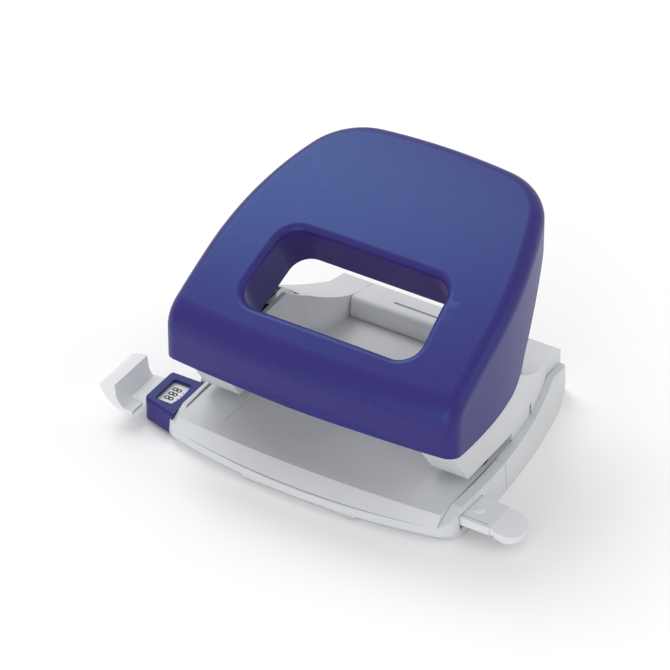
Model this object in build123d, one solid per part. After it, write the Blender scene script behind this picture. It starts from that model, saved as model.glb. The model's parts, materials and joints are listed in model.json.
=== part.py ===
from build123d import *
import os
from math import cos, sin, tan, pi, radians

# A two-hole desk punch: light grey base, paper table and guide bar under a moulded blue handle cover.
# Millimetres. X runs across the punch, Y to its back and Z up.
# The origin is on the resting plane, halfway between the two punch axes.

os.makedirs("parts", exist_ok=True)

# --- driving dimensions -----------------------------------------------------------------------
HOLE_SPACING = 80.0          # ISO 838 filing holes
PUNCH_X = HOLE_SPACING / 2
PIN_R = 2.75                 # 5.5 mm holes
RUNNING_FIT = 0.05           # radial clearance of every shaft in its bore
STOP_DEPTH = 12.0            # paper stop behind the hole centres
SEAM_GAP = 0.2               # gap between moulded parts

# lower shell and paper table
TABLE_TOP = 9.5
TABLE_HALF = 46.6
TABLE_FRONT = -29.0          # at the table's front corners
TABLE_BOW = 2.2              # how far the front edge bows out at its middle
RIM_TOP = 6.0                # top of the shell's front rim
SHELL_TOP = 10.0
SHELL_WALL = 3.1
SHELL_HALF = 51.4            # half width on the resting plane
SHELL_DRAFT = 1.3            # how far the side wall leans in over its height
SHELL_SEAM_Y = 2.5           # joint between the front and the rear shell
SHELL_SHOULDER_Y = 47.4      # where the top edge of the rear shell turns straight back
SHELL_REAR_HALF = 41.8
SHELL_REAR = 57.0

# upper jaws and head housing
THROAT_TOP = 12.7            # underside of the jaws
JAW_HALF = 6.2               # half width of one jaw
JAW_FRONT = -13.2            # foot of the jaw's sloping front
TOWER_TOP = 34.0
DECK_HIGH = 30.6
HEAD_HALF = 46.7
WALL = 1.4

# handle pivot and stroke
PIVOT_Y = 18.0
PIVOT_Z = 24.0
AXLE_R = 3.0
PIN_TIP = 13.4
LEVER_X0 = PUNCH_X + 1.6      # inner face of the lever's plate
LEVER_X1 = PUNCH_X + 3.2
PIN_HEAD_BOTTOM = 31.0
PIN_HEAD_TOP = 34.95
PIN_HEAD_R = 4.0
FOOT_R = 2.0                 # pressing foot of the lever, on the pin's head

# handle cover
COVER_WALL = 2.3
COVER_ROUND = 4.5
OPENING_ROUND = 2.2
FLARE_CENTRE_Y = 247.0
BOW_CENTRE_Y = 350.0         # the cover's front is bowed about an upright axis here
LIP_Z = 32.2
TUNNEL_TILT = 25.0           # slope of the finger opening
TUNNEL_DEPTH = 17.5
TUNNEL_WALL = 2.0

# guide bar
BAR_FRONT = -24.7
BAR_BACK = -12.4
BAR_TOP = 7.5
BAR_THICK = 2.7
STOP_FACE_X = -68.5          # 28.5 mm outside the left hole: the 888 setting
BAR_BEND_X = 60.6
BAR_END_X = 69.2

FRAME_BOTTOM = 1.5            # foot of the window frame

# chip tray
TRAY_HINGE_Y = 49.0
TRAY_HINGE_Z = 1.7
TRAY_FLOOR = 1.5
TRAY_RIM = 3.3

# chassis
CHASSIS_BOTTOM = 3.7
CHASSIS_TOP = 5.6
DIE_TOP = 7.7
SCREW_R = 1.4
LEVER_SCREW_X = 38.2
SCREW_POINTS = [(-24, 20), (24, 20), (-24, 37), (24, 37)]


# --- helpers ----------------------------------------------------------------------------------
def block(x0, x1, y0, y1, z0, z1):
    """A box between two corners."""
    return Pos((x0 + x1) / 2, (y0 + y1) / 2, (z0 + z1) / 2) * Box(x1 - x0, y1 - y0, z1 - z0)


def rod(x, y, z0, z1, r):
    """A round post along Z."""
    return Pos(x, y, (z0 + z1) / 2) * Cylinder(r, z1 - z0)


def rod_x(y, z, x0, x1, r):
    """A round bar along X."""
    return Pos((x0 + x1) / 2, y, z) * Rot(0, 90, 0) * Cylinder(r, x1 - x0)


def side_prism(outline, x0, x1):
    """A side-view outline, given as (y, z) points or as a face, pushed across from x0 to x1."""
    face = make_face(Polyline(*outline, close=True)) if isinstance(outline, list) else outline
    return Pos(x0, 0, 0) * extrude(Plane.YZ * face, amount=x1 - x0, dir=(1, 0, 0))


def front_prism(outline, y0, y1):
    """A front-view outline of (x, z) points, pushed back from y0 to y1."""
    face = make_face(Polyline(*[(x, z) for x, z in outline], close=True))
    return Pos(0, y1, 0) * extrude(Plane.XZ * face, amount=y1 - y0, dir=(0, -1, 0))


def plan_prism(face, z0, z1):
    """A plan outline pushed up from z0 to z1."""
    return Pos(0, 0, z0) * extrude(face, amount=z1 - z0, dir=(0, 0, 1))


def both_sides(shape):
    """A right-hand shape with its mirror image on the left."""
    return [shape, mirror(shape, about=Plane.YZ)]


def save(name, *shapes):
    """Writes one node from one or more separate solids."""
    solids = [s for shape in shapes for s in shape.solids()]
    node = solids[0] if len(solids) == 1 else Compound(children=solids)
    export_step(node, f"parts/{name}.step")


# --- lower shell ------------------------------------------------------------------------------
def shell_outline(inset, front_inset, rear_half, shoulder, tail_half):
    """Plan of the base: bowed front, rounded corners, sides that curve in towards a nearly straight rear."""
    half = SHELL_HALF - inset
    corner_y = TABLE_FRONT - 2.6 + front_inset
    bow_y = TABLE_FRONT - 8.2 + front_inset
    rear = SHELL_REAR - inset
    front = ThreePointArc((-half + 4.5, corner_y), (0, bow_y), (half - 4.5, corner_y))
    edge = front
    for s in (1, -1):
        edge += ThreePointArc(
            (s * (half - 4.5), corner_y), (s * (half - 1.2), corner_y + 2.4), (s * half, corner_y + 7)
        )
        edge += ThreePointArc(
            (s * half, corner_y + 7), (s * (half - 1.8), 21), (s * rear_half, shoulder)
        )
        edge += Line((s * rear_half, shoulder), (s * tail_half, rear - 1.5))
        edge += ThreePointArc(
            (s * tail_half, rear - 1.5), (s * (tail_half - 0.45), rear - 0.45), (s * (tail_half - 1.5), rear)
        )
    edge += ThreePointArc((-tail_half + 1.5, rear), (0, rear + 1.5), (tail_half - 1.5, rear))
    return make_face(edge)


def shell_hollow(gap):
    """Plan of the space inside the lower shell's wall, less a fitting gap."""
    inset = SHELL_DRAFT + SHELL_WALL + gap
    half = SHELL_REAR_HALF - 2.3 - gap
    return shell_outline(inset, 3.4 + gap, half, SHELL_SHOULDER_Y, half)


def shell_body():
    """The whole lower shell before it is split: outer wall, open middle, sloped front top."""
    foot = shell_outline(0, 3.4, SHELL_REAR_HALF + 3.2, SHELL_SHOULDER_Y - 1.2, SHELL_REAR_HALF - 0.4)
    belly = shell_outline(0.3, 0.4, SHELL_REAR_HALF + 2.5, SHELL_SHOULDER_Y - 1, SHELL_REAR_HALF)
    brim = shell_outline(SHELL_DRAFT, 0, SHELL_REAR_HALF, SHELL_SHOULDER_Y, SHELL_REAR_HALF + 0.2)
    lower = loft([foot, Pos(0, 0, 3) * belly], ruled=True)
    upper = loft([Pos(0, 0, 3) * belly, Pos(0, 0, SHELL_TOP) * brim], ruled=True)
    body = lower + upper - plan_prism(shell_hollow(0), -1, SHELL_TOP + 1)
    front_slope = [(-60, RIM_TOP), (-31.6, RIM_TOP), (-23, SHELL_TOP), (-23, 20), (-60, 20)]
    body -= side_prism(front_slope, -60, 60)
    body -= block(-TABLE_HALF - 0.15, TABLE_HALF + 0.15, -60, STOP_DEPTH + 1.4, RIM_TOP - 0.1, 20)
    bar_slot = block(-60, 60, BAR_FRONT - 0.4, BAR_BACK + 0.4, BAR_TOP - BAR_THICK - 0.4, BAR_TOP + 0.4)
    bar_slot += block(0, 60, BAR_FRONT - 0.4, BAR_BACK + 0.4, BAR_TOP - BAR_THICK - 1.6, BAR_TOP)
    frame_seat = plan_prism(frame_outline(0.1), FRAME_BOTTOM - 0.1, 20)
    return body - bar_slot - frame_seat


def front_shell(body):
    """Front half of the lower shell, with ribs that carry the paper table."""
    shell = body & block(-60, 60, -60, SHELL_SEAM_Y - SEAM_GAP / 2, -1, 20)
    shelf = block(-20, 20, -34.4, -31.5, 0.8, RIM_TOP - 0.2)
    return shell + shelf


def tray_hinge_lugs():
    """Ears on the rear shell that hold the tray's hinge pins."""
    ears = None
    for x0 in (16, 30.4):
        ear = block(x0, x0 + 2.4, TRAY_HINGE_Y - 1.6, SHELL_REAR - 2, 0.2, CHASSIS_BOTTOM + 1)
        ear -= rod_x(TRAY_HINGE_Y, TRAY_HINGE_Z, x0 - 1, x0 + 4, 0.85)
        for piece in both_sides(ear):
            ears = piece if ears is None else ears + piece
    return ears


def rear_shell(body):
    """Rear half of the lower shell, with the tray's hinge lugs."""
    return (body & block(-60, 60, SHELL_SEAM_Y + SEAM_GAP / 2, 70, -1, 20)) + tray_hinge_lugs()


# --- paper table ------------------------------------------------------------------------------
def table_outline(front, bow, half):
    """Plan of the table: straight sides and back with a bowed front."""
    back = STOP_DEPTH + 1.2
    edge = ThreePointArc((-half, front), (0, front - bow), (half, front))
    edge += Polyline((half, front), (half, back), (-half, back), (-half, front))
    return make_face(edge)


def paper_table():
    """Top plate the paper lies on, with a sloping front and a ramp between the jaws."""
    top = table_outline(TABLE_FRONT, TABLE_BOW, TABLE_HALF)
    rim = table_outline(TABLE_FRONT - 2.5, TABLE_BOW + 2.6, TABLE_HALF)
    table = loft([Pos(0, 0, RIM_TOP) * rim, Pos(0, 0, TABLE_TOP) * top], ruled=True)
    under_front = table_outline(TABLE_FRONT + 2.2, TABLE_BOW + 0.5, TABLE_HALF - 1.6)
    hollow = plan_prism(under_front, RIM_TOP - 1, BAR_TOP + 0.5) & block(-60, 60, -60, -9.5, 0, 20)
    table -= hollow
    table -= block(-60, 60, BAR_FRONT - 0.5, BAR_BACK + 0.5, 0, BAR_TOP + 0.5)
    table -= block(-60, 60, -9.5, 20, 0, DIE_TOP + 0.1)
    ramp = [(-27.6, TABLE_TOP), (STOP_DEPTH + 2, TABLE_TOP - 1.2), (STOP_DEPTH + 2, 12), (-27.6, 12)]
    table -= side_prism(ramp, -33.2, 33.2)
    for x in (-PUNCH_X, PUNCH_X):
        table -= rod(x, 0, 0, 12, 5.2)
    return table


# --- chassis and dies -------------------------------------------------------------------------
def chassis():
    """Steel floor plate that ties the two guide blocks together."""
    plate = block(-43.5, 43.5, -8, 30, CHASSIS_BOTTOM, CHASSIS_TOP)
    plate += block(-35, 35, 30, 46, CHASSIS_BOTTOM, CHASSIS_TOP)
    for x in (-PUNCH_X, PUNCH_X):
        plate -= rod(x, 0, 0, 12, 4.2)
    for x, y in SCREW_POINTS:
        plate -= rod(x, y, 0, 12, SCREW_R + 0.2)
    return plate


def die_plate():
    """Hardened strip with the two cutting holes, raised to the table's surface."""
    plate = block(-45.5, 45.5, -7.5, 8.5, CHASSIS_TOP, DIE_TOP)
    for x in (-PUNCH_X, PUNCH_X):
        plate += rod(x, 0, DIE_TOP, TABLE_TOP - 0.05, 5.0)
        plate -= rod(x, 0, 0, 12, PIN_R + RUNNING_FIT)
    return plate


def guide_block():
    """Right-hand C-shaped casting: guides the pin above the paper and carries the axle behind it."""
    c_shape = [
        (-4, 14.1), (-4, 25), (5.2, 25), (5.2, 20.5), (13, 17.5), (13, 28.5), (23, 28.5),
        (23, 24), (28, 20), (28, CHASSIS_TOP), (10, CHASSIS_TOP), (10, DIE_TOP), (14, DIE_TOP), (14, 14.1),
    ]
    casting = side_prism(c_shape, LEVER_X0 - 5.0, LEVER_X0 - 0.3)
    nose = [(-11.0, 14.1), (-15.4, 21), (-15.4, 25), (5.2, 25), (5.2, 14.1)]
    casting += side_prism(nose, PUNCH_X - 4.6, PUNCH_X + 4.0)
    casting -= rod(PUNCH_X, 0, 10, 30, PIN_R + RUNNING_FIT)
    casting -= rod(PUNCH_X, 0, 18.5, 30, 4.15)
    return casting - rod_x(PIVOT_Y, PIVOT_Z, 30, 50, AXLE_R + RUNNING_FIT)


# --- head housing -----------------------------------------------------------------------------
def deck_line(y):
    """Height of the sloping deck: it falls in a shallow curve towards the back."""
    t = (y - 19) / 37.8
    return DECK_HIGH - 25.9 * t + 9.9 * t * t


def head_profile(drop):
    """Side view of the housing, lowered and drawn in by drop: jaws, towers and sloping deck."""
    rear = SHELL_REAR - 0.8 - drop
    deck = [(y, deck_line(y) - drop) for y in (13.5, 22, 32, 44, rear)]
    front = [
        (rear, 6.2 + drop), (STOP_DEPTH + 1.3 + drop, 6.2 + drop),
        (STOP_DEPTH + 1.3 + drop, THROAT_TOP + drop), (JAW_FRONT + 0.6 * drop, THROAT_TOP + drop),
        (JAW_FRONT - 11.4 + 1.2 * drop, 29.7), (JAW_FRONT - 11.4 + 1.2 * drop, TOWER_TOP - drop),
    ]
    edge = Spline(*deck) + Polyline(deck[-1], *front, deck[0])
    return make_face(edge)


def head_outline(inset):
    """Plan of the housing inside the lower shell's rim."""
    half = HEAD_HALF - inset
    rear_half = SHELL_REAR_HALF - SHELL_WALL + 0.6 - inset
    edge = Polyline((-half, 8), (-half, -40), (half, -40), (half, 8))
    for s in (1, -1):
        edge += ThreePointArc((s * half, 8), (s * (half - 2.1), 29), (s * rear_half, SHELL_SHOULDER_Y))
        edge += Line((s * rear_half, SHELL_SHOULDER_Y), (s * rear_half, 60))
    edge += Line((-rear_half, 60), (rear_half, 60))
    return make_face(edge)


def lean_section(inset):
    """Front view of the housing: upright sides that lean in above the shell's rim."""
    foot = HEAD_HALF - inset
    top = foot - 1.6
    return front_prism([(-foot, 0), (foot, 0), (foot, 19), (top, 36), (-top, 36), (-foot, 19)], -40, 70)


def head_solid(inset):
    """One skin of the housing, inset from the outer surface."""
    skin = side_prism(head_profile(inset), -60, 60)
    skin &= plan_prism(head_outline(inset), 0, 40)
    skin &= lean_section(inset)
    above_rim = block(-60, 60, -60, 60, SHELL_TOP + 0.1, 40)
    return skin & (above_rim + plan_prism(shell_hollow(0.15 + inset), 0, SHELL_TOP + 0.2))


def centre_gap():
    """Plan of the open space between the towers, narrowing to the rear block."""
    inner = PUNCH_X - JAW_HALF
    edge = Polyline((-inner, 26), (-inner, -50), (inner, -50), (inner, 26))
    for s in (1, -1):
        edge += ThreePointArc((s * inner, 26), (s * 30.6, 33), (s * 28.6, 43))
        edge += Line((s * 28.6, 43), (s * 28.6, 70))
    edge += Line((-28.6, 70), (28.6, 70))
    return make_face(edge)


def head_housing():
    """Moulded housing: two jaw towers, sloping side decks and the floor between them."""
    head = head_solid(0)
    towers = side_prism(
        [(-11.8, THROAT_TOP + WALL), (-23, 30), (-23, 40), (24, 40), (24, THROAT_TOP + WALL)],
        PUNCH_X - JAW_HALF + WALL, PUNCH_X + JAW_HALF - WALL - 0.7,
    )
    hollow = head_solid(1.6) & block(34.6, 60, 14.9, 28.5, 5, 40)
    for side in both_sides(hollow) + both_sides(towers):
        head -= side
    head -= plan_prism(centre_gap(), 10.6, 50)
    head -= block(-30.2, 30.2, 15, 60, 5, 9.1)
    head -= block(-28.6, 28.6, 41.8, 60, 5, 12)
    foot = block(34, 45, 13.9, 28.2, 5, THROAT_TOP + WALL) + block(34, 45, 13, 14, 5, DIE_TOP + 0.1)
    for side in both_sides(foot):
        head -= side
    for x in (-PUNCH_X, PUNCH_X):
        head -= rod(x, 0, 10, 16, PIN_R + 0.45)
    for x, y in SCREW_POINTS:
        head += rod(x, y, CHASSIS_TOP, 10, 3.4)
        head -= rod(x, y, 0, 9.6, SCREW_R + RUNNING_FIT)
    return head


def rear_block():
    """Rounded block that closes the back of the deck between the two side decks."""
    top = [(42.2, 8.2), (42.2, deck_line(42.2) - 2.4), (44.6, deck_line(44.6)), (56.2, deck_line(56.2)), (56.2, 8.2)]
    edge = Polyline(top[2], top[3], top[4], top[0], top[1]) + ThreePointArc(
        top[1], (42.9, deck_line(43) - 0.75), top[2]
    )
    body = side_prism(make_face(edge), -28.3, 28.3)
    body -= side_prism([(40, 5), (60, 5), (60, 8.2), (44.2, 8.2), (44.2, 6)], -60, 60)
    groove = block(-16, 16, 47.6, 48.8, deck_line(48.2) - 0.6, 30)
    body -= block(-60, 60, 52.4, 60, 0, SHELL_TOP + 0.1)
    return body - block(-26.5, 26.5, 44.6, 54.4, 0, 12.6) - groove


def paper_stop():
    """Strip across the back of the throat that the paper's edge meets."""
    strip = block(-33.5, 33.5, STOP_DEPTH, STOP_DEPTH + 1.1, TABLE_TOP, THROAT_TOP + 0.6)
    lip = block(-33.5, 33.5, STOP_DEPTH, STOP_DEPTH + 3.4, THROAT_TOP + 0.6, THROAT_TOP + 1.6)
    ends = block(33.5, 44.2, STOP_DEPTH, STOP_DEPTH + 1.1, TABLE_TOP, THROAT_TOP - 0.1)
    return strip + lip + ends + mirror(ends, about=Plane.YZ)


# --- handle -----------------------------------------------------------------------------------
def cover_profile(inset):
    """Side view of the cover at its middle: upright front, rounded brow and a long rising top."""
    brow = TangentArc((-32.7, 41.5), (-27, 51.1), tangent=(0, 1))
    slope = TangentArc(brow @ 1, (8, 67), tangent=brow % 1)
    crest = TangentArc(slope @ 1, (48, 78), tangent=slope % 1)
    start = (-32.7 + inset, 41.5)
    edge = Line((-32.7 + inset, 10), start) + TangentArc(start, moved_in(brow, inset), tangent=(0, 1))
    for before, curve in ((brow, slope), (slope, crest)):
        edge += TangentArc(moved_in(before, inset), moved_in(curve, inset), tangent=before % 1)
    crest_end = moved_in(crest, inset)
    tail = crest_end + (crest % 1) * 22
    return make_face(edge + Polyline(crest_end, tail, (70, 10), (-32.7 + inset, 10)))


def lip_flare():
    """Low band along the front lip that stands out most at the middle and fades at the corners."""
    wedge = make_face(Polyline(
        (-32.7, LIP_Z + 3.0), (-33.4, LIP_Z + 0.2), (-31.0, LIP_Z + 0.2), (-31.0, LIP_Z + 3.0), close=True
    ))
    axis = Axis((0, FLARE_CENTRE_Y, 0), (0, 0, 1))
    return revolve(Plane.YZ * wedge, axis=axis, revolution_arc=18).rotate(axis, -9)


def moved_in(curve, inset):
    """The end of a profile curve, moved towards the inside of the cover."""
    heading = curve % 1
    return (curve @ 1) + Vector(heading.Y, -heading.X) * inset


def cover_outline(inset):
    """Plan of the cover's sides and back; the bowed front comes from the turned profile."""
    corner_x, corner_y = 35.2 - 0.65 * inset, 52 - 0.91 * inset
    edge = ThreePointArc((-corner_x, corner_y), (0, 54.8 - inset), (corner_x, corner_y))
    for s in (1, -1):
        bend = (s * (50.2 - inset), -4)
        edge += ThreePointArc((s * corner_x, corner_y), (s * (48.1 - 0.98 * inset), 15 - 0.18 * inset), bend)
        edge += Line(bend, (s * (51.4 - inset), -45))
    face = make_face(edge + Line((-51.4 + inset, -45), (51.4 - inset, -45)))
    corners = [v for v in face.vertices() if v.Y > 45]
    return fillet(corners, 22 - inset)


def cover_bulk(inset):
    """The cover as a solid: its profile turned about a far upright axis, trimmed to the plan."""
    turned = revolve(
        Plane.YZ * cover_profile(inset), axis=Axis((0, BOW_CENTRE_Y, 0), (0, 0, 1)), revolution_arc=20
    )
    turned = turned.rotate(Axis((0, BOW_CENTRE_Y, 0), (0, 0, 1)), -10)
    return turned & plan_prism(cover_outline(inset), 11, 100)


def cover_underside():
    """Everything below the cover's free edge: level along the lip and rising steeply at the back."""
    edge = ThreePointArc((-36, LIP_Z + 0.6), (-12, 29.6), (6, 30.8))
    edge += ThreePointArc((6, 30.8), (12.6, 33.0), (17.4, 38.6))
    edge += ThreePointArc((17.4, 38.6), (31, 52.6), (45, 63.4))
    edge += ThreePointArc((45, 63.4), (49.6, 68), (53.2, 72.6))
    edge += Polyline((53.2, 72.6), (70, 90), (70, 0), (-60, 0), (-60, LIP_Z + 0.6), (-36, LIP_Z + 0.6))
    return side_prism(make_face(edge), -60, 60)


def tunnel_plane():
    """Plane of the finger opening's rim, square to the tunnel."""
    tilt = radians(TUNNEL_TILT)
    return Plane(origin=(0, -7, 60.4), x_dir=(1, 0, 0), z_dir=(0, -sin(tilt), cos(tilt)))


def tunnel_outline(grow):
    """Rim of the finger opening: a rounded trapezium, wider at the front."""
    corners = [(-31 - grow, -15 - grow), (31 + grow, -15 - grow), (28.8 + grow, 15 + grow), (-28.8 - grow, 15 + grow)]
    face = make_face(Polyline(*corners, close=True))
    return fillet(face.vertices(), 7 + grow)


def tunnel_prism(grow, up, down):
    """The opening's outline pushed along the tunnel, from up above the rim to down below it."""
    plane = tunnel_plane()
    return extrude(plane.offset(-down) * tunnel_outline(grow), amount=up + down)


def handle_cover():
    """Moulded cover with its finger opening and the bosses that the lever arms are screwed to."""
    skin = cover_bulk(0)
    skin = fillet([e for e in skin.edges() if edge_is_rim(e)], COVER_ROUND)
    skin -= tunnel_prism(0, 30, TUNNEL_DEPTH + 50)
    skin = fillet([e for e in skin.edges() if edge_is_opening(e)], OPENING_ROUND)
    shell = skin - cover_bulk(COVER_WALL)
    shell += tunnel_prism(TUNNEL_WALL, 3, TUNNEL_DEPTH) & skin
    for boss in both_sides(rod(LEVER_SCREW_X, 2, 52, 80, 3.2)):
        shell += boss & skin
    for hole in both_sides(rod(LEVER_SCREW_X, 2, 45, 59, SCREW_R + RUNNING_FIT)):
        shell -= hole
    return shell - cover_underside() + lip_flare()


def edge_is_opening(edge):
    """True for the edges of the finger opening in the cover's top."""
    middle = edge @ 0.5
    return middle.Z > 50 and abs(middle.X) < 33 and -23 < middle.Y < 9 and abs((edge % 0.5).Z) < 0.8


def edge_is_rim(edge):
    """True for the edges where the cover's front and top meet its sides and back."""
    return edge.bounding_box().size.Z > 0.1


def lever_arm():
    """Right-hand steel lever arm: hub on the axle, foot over the pin and a flange under the cover."""
    outline = [
        (14.2, 20.8), (22.8, 25.6), (12.6, 38), (11.6, 50), (-5, 50), (-5, 36.6), (4.8, 36.6), (8.6, 31.5), (10, 25),
    ]
    arm = side_prism(outline, LEVER_X0, LEVER_X1)
    arm += rod_x(PIVOT_Y, PIVOT_Z, LEVER_X0, LEVER_X1, 5)
    arm += rod_x(0, PIN_HEAD_TOP + 0.05 + FOOT_R, PUNCH_X - 3, LEVER_X1, FOOT_R)
    arm += block(PUNCH_X - 5.2, LEVER_X1, -5, 11.6, 50, 52)
    arm -= rod_x(PIVOT_Y, PIVOT_Z, 30, 50, AXLE_R + RUNNING_FIT)
    return arm - rod(LEVER_SCREW_X, 2, 45, 60, SCREW_R + 0.2)


def screw(x, y, z, length, point_up=True):
    """A small pan-head screw; z is the plane under its head."""
    s = 1 if point_up else -1
    head = Pos(x, y, z - s * 0.8) * Cylinder(2.6, 1.6)
    shank = Pos(x, y, z + s * length / 2) * Cylinder(SCREW_R, length)
    recess = Pos(x, y, z - s * 1.3) * (Box(2.8, 0.6, 0.6) + Box(0.6, 2.8, 0.6))
    return head + shank - recess


# --- pins, springs and axle -------------------------------------------------------------------
def punch_pin(x):
    """Round punch with a hollow-ground tip and a domed head."""
    pin = rod(x, 0, PIN_TIP, PIN_HEAD_BOTTOM, PIN_R)
    tip_groove = Pos(x, 0, PIN_TIP - 1.2) * Rot(90, 0, 0) * Cylinder(2.2, 20)
    head = fillet(rod(x, 0, PIN_HEAD_BOTTOM, PIN_HEAD_TOP, PIN_HEAD_R).edges().group_by(Axis.Z)[-1], 1.2)
    return pin - tip_groove + head


def pin_spring(x):
    """Compression spring between the guide block's pocket and the pin's head."""
    wire, radius = 0.75, 3.45
    bottom, top = 18.5 + wire / 2 + 0.05, PIN_HEAD_BOTTOM - wire / 2 - 0.05
    path = Helix(pitch=(top - bottom) / 5, height=top - bottom, radius=radius)
    section = Plane(origin=path @ 0, z_dir=path % 0) * Circle(wire / 2)
    return Pos(x, 0, bottom) * sweep(section, path=path)


def axle_pin():
    """Right-hand pivot axle: a headed pin with a groove for its retaining ring."""
    axle = rod_x(PIVOT_Y, PIVOT_Z, LEVER_X0 - 5.1, LEVER_X1 + 1.0, AXLE_R)
    axle += rod_x(PIVOT_Y, PIVOT_Z, LEVER_X0 - 6.2, LEVER_X0 - 5.1, AXLE_R + 1)
    groove = rod_x(PIVOT_Y, PIVOT_Z, LEVER_X1 + 0.1, LEVER_X1 + 0.75, AXLE_R + 1)
    return axle - (groove - rod_x(PIVOT_Y, PIVOT_Z, 30, 50, AXLE_R - 0.5))


def retaining_ring():
    """Open clip that snaps into the axle's groove."""
    x0, x1 = LEVER_X1 + 0.12, LEVER_X1 + 0.72
    ring = rod_x(PIVOT_Y, PIVOT_Z, x0, x1, AXLE_R + 1.2) - rod_x(PIVOT_Y, PIVOT_Z, x0, x1, AXLE_R - 0.45)
    return ring - block(x0 - 1, x1 + 1, PIVOT_Y - 1.6, PIVOT_Y + 1.6, PIVOT_Z - 6, PIVOT_Z)


# --- guide bar --------------------------------------------------------------------------------
def stop_flap():
    """Upturned end of the bar: upright inner face for the paper, curled over outer lip."""
    x = STOP_FACE_X
    floor, bottom = BAR_TOP - 1.5, BAR_TOP - BAR_THICK
    edge = Line((x, 13.8), (x + 0.4, 10.4))
    edge += ThreePointArc((x + 0.4, 10.4), (x + 1.6, 7.5), (x + 4.4, floor))
    edge += Polyline((x + 4.4, floor), (x + 6.2, floor), (x + 6.2, bottom), (x + 2.8, bottom))
    edge += ThreePointArc((x + 2.8, bottom), (x - 2.6, 7.6), (x - 5.7, 12.2))
    edge += ThreePointArc((x - 5.7, 12.2), (x - 3.0, 13.4), (x, 13.8))
    face = Plane.XZ * make_face(edge)
    return Pos(0, BAR_BACK, 0) * extrude(face, amount=BAR_BACK - BAR_FRONT + 5.9, dir=(0, -1, 0))


def guide_bar():
    """Sliding format bar: stop flap, flat strip and a finger grip that bends down."""
    bottom = BAR_TOP - BAR_THICK
    strip = block(STOP_FACE_X + 2.6, BAR_BEND_X, BAR_FRONT, BAR_BACK, BAR_TOP - 1.4, BAR_TOP)
    strip += block(STOP_FACE_X + 5, BAR_BEND_X, BAR_FRONT, BAR_BACK, bottom, BAR_TOP)
    grip_face = make_face(Polyline(
        (BAR_BEND_X, BAR_FRONT), (BAR_END_X, BAR_FRONT), (BAR_END_X, BAR_BACK), (BAR_BEND_X, BAR_BACK), close=True
    ))
    outer = grip_face.vertices().group_by(Axis.X)[-1]
    grip = plan_prism(fillet(outer, 5.0), 0, 12)
    bend = front_prism([
        (BAR_BEND_X - 1, BAR_TOP), (BAR_BEND_X, BAR_TOP), (BAR_END_X + 1, BAR_TOP - 2.2),
        (BAR_END_X + 1, bottom - 1.2), (BAR_BEND_X + 5, bottom - 1.2), (BAR_BEND_X + 1.4, bottom),
        (BAR_BEND_X - 1, bottom),
    ], BAR_FRONT - 1, BAR_BACK + 1)
    for y in (BAR_FRONT, BAR_BACK):
        grip -= block(BAR_BEND_X - 1, BAR_BEND_X + 1.6, y - 0.4, y + 0.4, 0, 12)
    bar = stop_flap() + strip + (grip & bend)
    bump = Pos(53.8, -18.6, BAR_TOP - 1.75) * Sphere(2.4) & block(50, 58, -25, -12, BAR_TOP - 1, 12)
    bump &= block(50, 58, -25, -12, 5, BAR_TOP + 0.35)
    bar += bump
    bar -= block(47.6, 59.4, BAR_FRONT + 1.3, BAR_FRONT + 1.8, BAR_TOP - 0.4, 12)
    return bar


def bar_label():
    """Printed format scale laid on the bar, seen through the window."""
    return block(-60.5, 44, BAR_FRONT + 0.7, BAR_BACK - 0.7, BAR_TOP, BAR_TOP + 0.12)


def frame_outline(grow):
    """Plan of the window frame, with one well-rounded outer front corner."""
    x0, x1 = -61.4 - grow, -48.6 + grow
    face = make_face(Polyline(
        (x0, -9.6 + grow), (x0, -25.6 - grow), (x1, -28.9 - grow), (x1, -9.4 + grow), close=True
    ))
    front_corner = face.vertices().sort_by(Axis.X)[:2].sort_by(Axis.Y)[0]
    face = fillet(front_corner, 3.2)
    back_corner = face.vertices().sort_by(Axis.Y)[-2:].sort_by(Axis.X)[0]
    return fillet(back_corner, 1.4)


def window_frame():
    """Blue insert in the left wall, round the bar, with the window that shows its scale."""
    sleeve = plan_prism(frame_outline(0), FRAME_BOTTOM, BAR_TOP + 1.6)
    top = sleeve.faces().sort_by(Axis.Z)[-1]
    sleeve = chamfer([e for e in top.edges() if (e @ 0.5).X < -48.7], 0.7)
    sleeve -= block(-70, -40, BAR_FRONT - 0.3, BAR_BACK + 0.3, BAR_TOP - BAR_THICK - 0.3, BAR_TOP + 0.35)
    edge = Polyline((-51.9, -12.8), (-58.2, -12.8), (-58.2, -24.2), (-51.9, -24.2))
    edge += ThreePointArc((-51.9, -24.2), (-51.2, -18.5), (-51.9, -12.8))
    window = plan_prism(fillet(make_face(edge).vertices(), 0.9), BAR_TOP, 12)
    return sleeve - window


# --- chip tray --------------------------------------------------------------------------------
def chip_tray():
    """Shallow pan under the base, hinged at the back; its underside is the resting face."""
    plan = shell_hollow(0.5)
    inner = shell_hollow(1.7)
    keep = block(-60, 60, -60, TRAY_HINGE_Y - 2.7, -1, 20)
    tray = plan_prism(plan, 0, TRAY_RIM) & keep
    tray -= plan_prism(inner, TRAY_FLOOR, 10) & block(-60, 60, -60, TRAY_HINGE_Y - 3.9, -1, 20)
    tray -= block(-21, 21, -45, -30.9, -1, 20)
    for x0 in (18.8, -30.0):
        knuckle = rod_x(TRAY_HINGE_Y, TRAY_HINGE_Z, x0, x0 + 11.2, 1.6)
        arm = block(x0, x0 + 11.2, TRAY_HINGE_Y - 2.9, TRAY_HINGE_Y, 0.3, TRAY_HINGE_Z + 1)
        tray += knuckle + arm
        tray -= rod_x(TRAY_HINGE_Y, TRAY_HINGE_Z, x0 - 1, x0 + 13, 0.85)
    return tray


def tray_hinge_pins():
    """Two steel pins that the tray swings on."""
    return both_sides(rod_x(TRAY_HINGE_Y, TRAY_HINGE_Z, 16.2, 32.6, 0.8))


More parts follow.
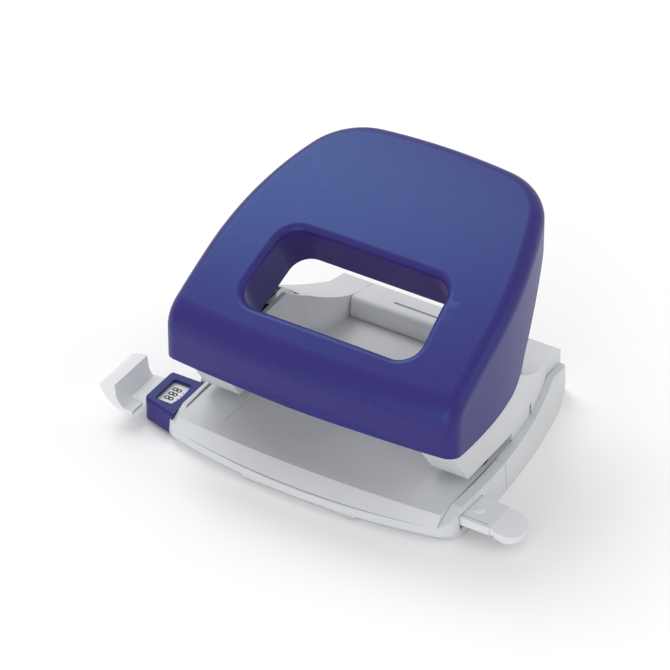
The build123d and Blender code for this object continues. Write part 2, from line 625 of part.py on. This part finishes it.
# --- write every node -------------------------------------------------------------------------
SHELL = shell_body()
save("front_shell", front_shell(SHELL))
save("rear_shell", rear_shell(SHELL))
save("paper_table", paper_table())
save("chassis_plate", chassis())
save("die_plate", die_plate())
save("guide_block_right", guide_block())
save("guide_block_left", mirror(guide_block(), about=Plane.YZ))
save("head_housing", head_housing())
save("rear_block", rear_block())
save("paper_stop", paper_stop())
save("handle_cover", handle_cover())
save("lever_arm_right", lever_arm())
save("lever_arm_left", mirror(lever_arm(), about=Plane.YZ))
save("lever_screws", *both_sides(screw(LEVER_SCREW_X, 2, 50, 8.4)))
save("frame_screws", *[screw(x, y, CHASSIS_BOTTOM, 5.6) for x, y in SCREW_POINTS])
save("punch_pin_left", punch_pin(-PUNCH_X))
save("punch_pin_right", punch_pin(PUNCH_X))
save("pin_spring_left", pin_spring(-PUNCH_X))
save("pin_spring_right", pin_spring(PUNCH_X))
save("axle_left", mirror(axle_pin(), about=Plane.YZ))
save("axle_right", axle_pin())
save("retaining_rings", *both_sides(retaining_ring()))
save("guide_bar", guide_bar())
save("bar_label", bar_label())
save("window_frame", window_frame())
save("chip_tray", chip_tray())
save("tray_hinge_pins", *tray_hinge_pins())
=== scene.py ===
import json
import math

import bmesh
import bpy
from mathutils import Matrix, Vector


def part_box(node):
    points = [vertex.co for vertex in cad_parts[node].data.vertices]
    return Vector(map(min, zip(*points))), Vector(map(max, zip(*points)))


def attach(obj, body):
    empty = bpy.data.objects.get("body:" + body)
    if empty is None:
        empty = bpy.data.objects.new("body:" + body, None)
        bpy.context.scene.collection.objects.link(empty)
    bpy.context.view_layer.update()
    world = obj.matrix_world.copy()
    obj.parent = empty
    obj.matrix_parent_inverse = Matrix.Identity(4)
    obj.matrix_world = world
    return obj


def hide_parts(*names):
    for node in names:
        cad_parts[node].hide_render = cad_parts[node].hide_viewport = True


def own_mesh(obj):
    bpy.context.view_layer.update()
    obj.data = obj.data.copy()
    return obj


# A two-hole desk punch on a pale floor. Metres, in the same frame as the CAD model:
# X across the punch, Y to its back, Z up, origin midway between the punch axes.

# --- numbers that shape the scene ---------------------------------------------------------------
MM = 0.001
CAMERA_AZIMUTH = 31.6          # degrees; 0 looks along +Y
CAMERA_ELEVATION = 35.9
CAMERA_DISTANCE = 1.397
CAMERA_LENS = 241.8            # on a 36 mm sensor
CAMERA_TARGET = (-0.02385, 0.0257, 0.015)

WINDOW_CENTRE = (-55.0 * MM, -18.4 * MM)
PRINT_LIFT = 0.02 * MM         # ink above the label
DIGIT_PITCH = 2.35 * MM
DIGIT_STROKE = 0.54 * MM
DOT_PITCH = 1.7 * MM
DOT_RADIUS = 0.12 * MM

SPRING_WIRE = 0.75 * MM
SPRING_TURNS = 5

EDGE_ROUNDING = 0.25 * MM
SHARP_ANGLE = math.radians(40)  # a meeting of faces steeper than this is an edge

WORLD_STRENGTH = 0.80
LIGHT_AIM = (0, 0.01, 0.03)
KEY_LIGHT = {"place": (-0.85, 0.45, 1.20), "size": 0.8, "power": 8}
RIGHT_FILL = {"place": (1.1, 0.3, 0.6), "size": 0.5, "power": 1.2}
FRONT_FILL = {"place": (0.25, -1.3, 0.25), "size": 0.6, "power": 4}
FLOOR_SIZE = 6
FLOOR_DROP = 0.05 * MM         # keeps the floor clear of the punch's underside

BLUE_DEEP = (0.035, 0.006, 0.100)
BLUE_BRIGHT = (0.047, 0.012, 0.168)
BLUE_GLOSS = (0.04, 0.55, 1.0)
GREY_LIGHT = (0.640, 0.655, 0.670)
GREY_PALE = (0.730, 0.745, 0.760)
INK = (0.025, 0.027, 0.035)


# --- material helpers ---------------------------------------------------------------------------
class Nodes:
    """Short names for building one procedural material."""

    def __init__(self, name):
        self.material = bpy.data.materials.new(name)
        self.material.use_nodes = True
        self.tree = self.material.node_tree
        self.shader = self.tree.nodes["Principled BSDF"]
        self.coords = self.tree.nodes.new("ShaderNodeTexCoord")

    def link(self, source, target):
        self.tree.links.new(source, target)

    def scaled(self, scale):
        """Object coordinates stretched by a scale for each axis."""
        mapping = self.tree.nodes.new("ShaderNodeMapping")
        mapping.inputs["Scale"].default_value = scale
        self.link(self.coords.outputs["Object"], mapping.inputs["Vector"])
        return mapping.outputs["Vector"]

    def noise(self, scale, detail=2.0, vector=None):
        """A noise pattern; scale is in cells per metre."""
        node = self.tree.nodes.new("ShaderNodeTexNoise")
        node.inputs["Scale"].default_value = scale
        node.inputs["Detail"].default_value = detail
        self.link(vector or self.coords.outputs["Object"], node.inputs["Vector"])
        return node.outputs["Fac"]

    def ramp(self, factor, low, high, start=0.3, end=0.7):
        """Colours from low to high as factor goes from start to end."""
        node = self.tree.nodes.new("ShaderNodeValToRGB")
        node.color_ramp.elements[0].position = start
        node.color_ramp.elements[1].position = end
        node.color_ramp.elements[0].color = (*low, 1)
        node.color_ramp.elements[1].color = (*high, 1)
        self.link(factor, node.inputs["Fac"])
        return node.outputs["Color"]

    def span(self, factor, low, high):
        """Numbers from low to high as factor goes from 0.3 to 0.7."""
        node = self.tree.nodes.new("ShaderNodeMapRange")
        node.inputs["From Min"].default_value = 0.3
        node.inputs["From Max"].default_value = 0.7
        node.inputs["To Min"].default_value = low
        node.inputs["To Max"].default_value = high
        self.link(factor, node.inputs["Value"])
        return node.outputs["Result"]

    def bump(self, height, depth, strength=0.5):
        """Relief on the surface, depth metres high."""
        node = self.tree.nodes.new("ShaderNodeBump")
        node.inputs["Strength"].default_value = strength
        node.inputs["Distance"].default_value = depth
        self.link(height, node.inputs["Height"])
        self.link(node.outputs["Normal"], self.shader.inputs["Normal"])


def metallic_blue():
    """Satin moulded plastic with a fine metallic speckle."""
    m = Nodes("satin_blue")
    speckle = m.noise(3400, 2)
    m.link(m.ramp(speckle, BLUE_DEEP, BLUE_BRIGHT, 0.35, 0.68), m.shader.inputs["Base Color"])
    m.link(m.span(m.noise(1900, 2), 0.36, 0.46), m.shader.inputs["Roughness"])
    m.shader.inputs["Specular IOR Level"].default_value = 0.7
    m.shader.inputs["Specular Tint"].default_value = (*BLUE_GLOSS, 1)
    m.bump(m.noise(2400, 2), 0.00003, 0.35)
    return m.material


def moulded_grey(name, colour, roughness):
    """Pale moulded plastic with a fine grain and a slightly uneven tone."""
    m = Nodes(name)
    darker = tuple(c * 0.955 for c in colour)
    m.link(m.ramp(m.noise(60, 4), darker, colour), m.shader.inputs["Base Color"])
    m.link(m.span(m.noise(1500, 2), roughness - 0.05, roughness + 0.06), m.shader.inputs["Roughness"])
    m.bump(m.noise(3200, 2), 0.00002, 0.3)
    return m.material


def brushed_metal(name, colour, roughness):
    """Steel with fine lines along X."""
    m = Nodes(name)
    lines = m.noise(700, 3, m.scaled((0.12, 3, 3)))
    darker = tuple(c * 0.78 for c in colour)
    m.link(m.ramp(lines, darker, colour), m.shader.inputs["Base Color"])
    m.link(m.span(lines, roughness - 0.06, roughness + 0.08), m.shader.inputs["Roughness"])
    m.shader.inputs["Metallic"].default_value = 1.0
    m.bump(lines, 0.00001, 0.3)
    return m.material


def cast_metal():
    """Die-cast zinc: dull and slightly pitted."""
    m = Nodes("cast_zinc")
    m.link(m.ramp(m.noise(350, 5), (0.30, 0.31, 0.32), (0.42, 0.43, 0.44)), m.shader.inputs["Base Color"])
    m.link(m.span(m.noise(900, 3), 0.48, 0.62), m.shader.inputs["Roughness"])
    m.shader.inputs["Metallic"].default_value = 0.9
    m.bump(m.noise(1500, 4), 0.00004, 0.4)
    return m.material


def printed_white():
    """White printed strip with a trace of paper fibre."""
    m = Nodes("label_white")
    m.link(m.ramp(m.noise(1800, 4), (0.74, 0.75, 0.75), (0.84, 0.85, 0.84)), m.shader.inputs["Base Color"])
    m.shader.inputs["Roughness"].default_value = 0.5
    m.bump(m.noise(2500, 2), 0.00001, 0.2)
    return m.material


def printed_ink():
    """Dark ink, a little uneven."""
    m = Nodes("label_ink")
    m.link(m.ramp(m.noise(2600, 3), INK, tuple(c * 1.8 for c in INK)), m.shader.inputs["Base Color"])
    m.shader.inputs["Roughness"].default_value = 0.45
    return m.material


def pale_floor():
    """Plain white studio floor."""
    m = Nodes("floor_white")
    m.link(m.ramp(m.noise(8, 2), (0.93, 0.93, 0.93), (0.95, 0.95, 0.95)), m.shader.inputs["Base Color"])
    m.shader.inputs["Roughness"].default_value = 0.9
    return m.material


# --- pieces added to the CAD model --------------------------------------------------------------
def mesh_piece(name, build, material, body):
    """A new piece whose mesh build() makes, riding on a body."""
    mesh = bpy.data.meshes.new(name)
    shape = bmesh.new()
    build(shape)
    shape.to_mesh(mesh)
    shape.free()
    mesh.materials.append(material)
    piece = bpy.data.objects.new(name, mesh)
    bpy.context.scene.collection.objects.link(piece)
    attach(piece, body)
    return piece


def ring_stroke(shape, centre, radius_x, radius_y, width, z, steps=20):
    """A flat printed oval ring."""
    inner, outer = [], []
    for i in range(steps):
        angle = 2 * math.pi * i / steps
        for ring, grow in ((inner, -width / 2), (outer, width / 2)):
            x = centre[0] + (radius_x + grow) * math.cos(angle)
            y = centre[1] + (radius_y + grow) * math.sin(angle)
            ring.append(shape.verts.new((x, y, z)))
    for i in range(steps):
        j = (i + 1) % steps
        shape.faces.new((inner[i], outer[i], outer[j], inner[j]))


def format_print(shape):
    """The setting 888 printed sideways on the label, with four small dots beside it."""
    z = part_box("bar_label")[1].z + PRINT_LIFT
    x, y = WINDOW_CENTRE
    for i in (-1, 0, 1):
        digit_y = y + 0.3 * MM + i * DIGIT_PITCH
        for side, size in ((-0.80, 0.70), (0.66, 0.62)):
            centre = (x - 0.3 * MM + side * MM, digit_y)
            ring_stroke(shape, centre, size * MM, 0.70 * MM, DIGIT_STROKE, z)
    for i in range(4):
        dot = (x + 2.2 * MM, y - 3.0 * MM + i * DOT_PITCH)
        ring_stroke(shape, dot, DOT_RADIUS, DOT_RADIUS, 0.22 * MM, z, 10)


def wire_ring(shape, centre, outward, upward, sides=10):
    """A ring of vertices round the spring's wire, in the plane of two directions."""
    turns = [2 * math.pi * k / sides for k in range(sides)]
    offsets = [outward * math.cos(turn) + upward * math.sin(turn) for turn in turns]
    return [shape.verts.new(centre + offset * SPRING_WIRE / 2) for offset in offsets]


def coil(shape, low, high, steps=32):
    """A compression spring wound to fill the box between two corners, in steps rings a turn."""
    radius = (high.x - low.x - SPRING_WIRE) / 2
    middle = (low + high) / 2
    start, rise = low.z + SPRING_WIRE / 2, high.z - low.z - SPRING_WIRE
    slope = rise / (2 * math.pi * SPRING_TURNS * radius)
    rings = []
    for i in range(SPRING_TURNS * steps + 1):
        angle = 2 * math.pi * i / steps
        outward = Vector((math.cos(angle), math.sin(angle), 0))
        along = Vector((-outward.y, outward.x, slope)).normalized()
        height = start + rise * i / (SPRING_TURNS * steps)
        centre = Vector((middle.x, middle.y, height)) + outward * radius
        rings.append(wire_ring(shape, centre, outward, outward.cross(along)))
    for ring, following in zip(rings, rings[1:]):
        for k in range(len(ring)):
            shape.faces.new((ring[k - 1], ring[k], following[k], following[k - 1]))
    shape.faces.new(rings[0])
    shape.faces.new(rings[-1])
    bmesh.ops.recalc_face_normals(shape, faces=shape.faces)


def pin_spring(side):
    """A pin's return spring, which rides on the pin."""
    node, slide = f"pin_spring_{side}", f"pin_{side}_slide"
    low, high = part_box(node)

    def wind(shape):
        coil(shape, low, high)

    piece = mesh_piece(f"return_spring_{side}", wind, FINISHES["spring_steel"], f"pin_{side}")
    piece.data.shade_smooth()
    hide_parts(node)
    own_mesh(piece)


# --- lights, floor and camera -------------------------------------------------------------------
def area_light(name, place, size, power):
    """A square soft white light aimed at the punch, size metres across and power watts."""
    data = bpy.data.lights.new(name, "AREA")
    data.size = size
    data.energy = power
    lamp = bpy.data.objects.new(name, data)
    lamp.location = place
    lamp.rotation_euler = (Vector(LIGHT_AIM) - Vector(place)).to_track_quat("-Z", "Y").to_euler()
    bpy.context.scene.collection.objects.link(lamp)


def studio():
    """White surroundings with one large soft key light and two fills, right and front."""
    world = bpy.data.worlds.new("studio_white")
    world.use_nodes = True
    background = world.node_tree.nodes["Background"]
    background.inputs["Color"].default_value = (1, 1, 1, 1)
    background.inputs["Strength"].default_value = WORLD_STRENGTH
    bpy.context.scene.world = world
    area_light("key", **KEY_LIGHT)
    area_light("right_fill", **RIGHT_FILL)
    area_light("front_fill", **FRONT_FILL)
    bpy.context.scene.view_settings.view_transform = "Standard"


def floor():
    """A wide plain floor under the punch."""
    bpy.ops.mesh.primitive_plane_add(size=FLOOR_SIZE, location=(0, 0, -FLOOR_DROP))
    plane = bpy.context.object
    plane.name = "floor"
    plane.data.materials.append(pale_floor())


def camera():
    """The camera at the photograph's angle."""
    azimuth, elevation = math.radians(CAMERA_AZIMUTH), math.radians(CAMERA_ELEVATION)
    back = Vector((
        math.sin(azimuth) * math.cos(elevation),
        -math.cos(azimuth) * math.cos(elevation),
        math.sin(elevation),
    ))
    data = bpy.data.cameras.new("camera")
    data.lens = CAMERA_LENS
    data.sensor_width = 36
    data.clip_end = 20
    eye = bpy.data.objects.new("camera", data)
    eye.location = Vector(CAMERA_TARGET) + back * CAMERA_DISTANCE
    eye.rotation_euler = (-back).to_track_quat("-Z", "Y").to_euler()
    bpy.context.scene.collection.objects.link(eye)
    bpy.context.scene.camera = eye


# --- build the scene ----------------------------------------------------------------------------
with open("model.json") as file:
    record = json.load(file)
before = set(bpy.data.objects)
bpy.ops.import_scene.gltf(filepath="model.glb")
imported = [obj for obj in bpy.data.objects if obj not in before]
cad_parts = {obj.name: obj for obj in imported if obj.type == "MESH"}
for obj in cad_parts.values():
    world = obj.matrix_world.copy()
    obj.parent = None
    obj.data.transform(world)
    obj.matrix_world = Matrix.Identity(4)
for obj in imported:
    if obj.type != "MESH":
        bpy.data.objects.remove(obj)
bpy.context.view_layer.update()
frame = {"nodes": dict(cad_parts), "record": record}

FINISHES = {
    "blue_plastic": metallic_blue(),
    "grey_plastic": moulded_grey("grain_grey", GREY_LIGHT, 0.5),
    "light_plastic": moulded_grey("smooth_pale", GREY_PALE, 0.36),
    "zinc_steel": brushed_metal("zinc_steel", (0.62, 0.63, 0.64), 0.32),
    "hard_steel": brushed_metal("tool_steel", (0.46, 0.47, 0.49), 0.25),
    "spring_steel": brushed_metal("spring_wire", (0.55, 0.56, 0.58), 0.28),
    "cast_zinc": cast_metal(),
    "label_print": printed_white(),
}
SLOT_OF = {part["node"]: part["material_slot"] for part in frame["record"]["subparts"]}


def finish_node(name, node):
    """Gives a CAD node its material and smooth shading, and rounds its sharp edges slightly.

    The label is too thin to round, and the cover's visible edges are rounded already.
    """
    node.data.materials.clear()
    node.data.materials.append(FINISHES[SLOT_OF[name]])
    node.data.shade_smooth()
    if name == "bar_label":
        return
    if name == "handle_cover":
        node.data.set_sharp_from_angle(angle=SHARP_ANGLE)
        return
    rounding = node.modifiers.new("soft_edges", "BEVEL")
    rounding.width = EDGE_ROUNDING
    rounding.segments = 2
    rounding.limit_method = "ANGLE"
    rounding.angle_limit = SHARP_ANGLE
    rounding.harden_normals = True


for node_name, node in frame["nodes"].items():
    finish_node(node_name, node)

mesh_piece("format_print", format_print, printed_ink(), "guide_bar")
pin_spring("left")
pin_spring("right")
studio()
floor()
camera()
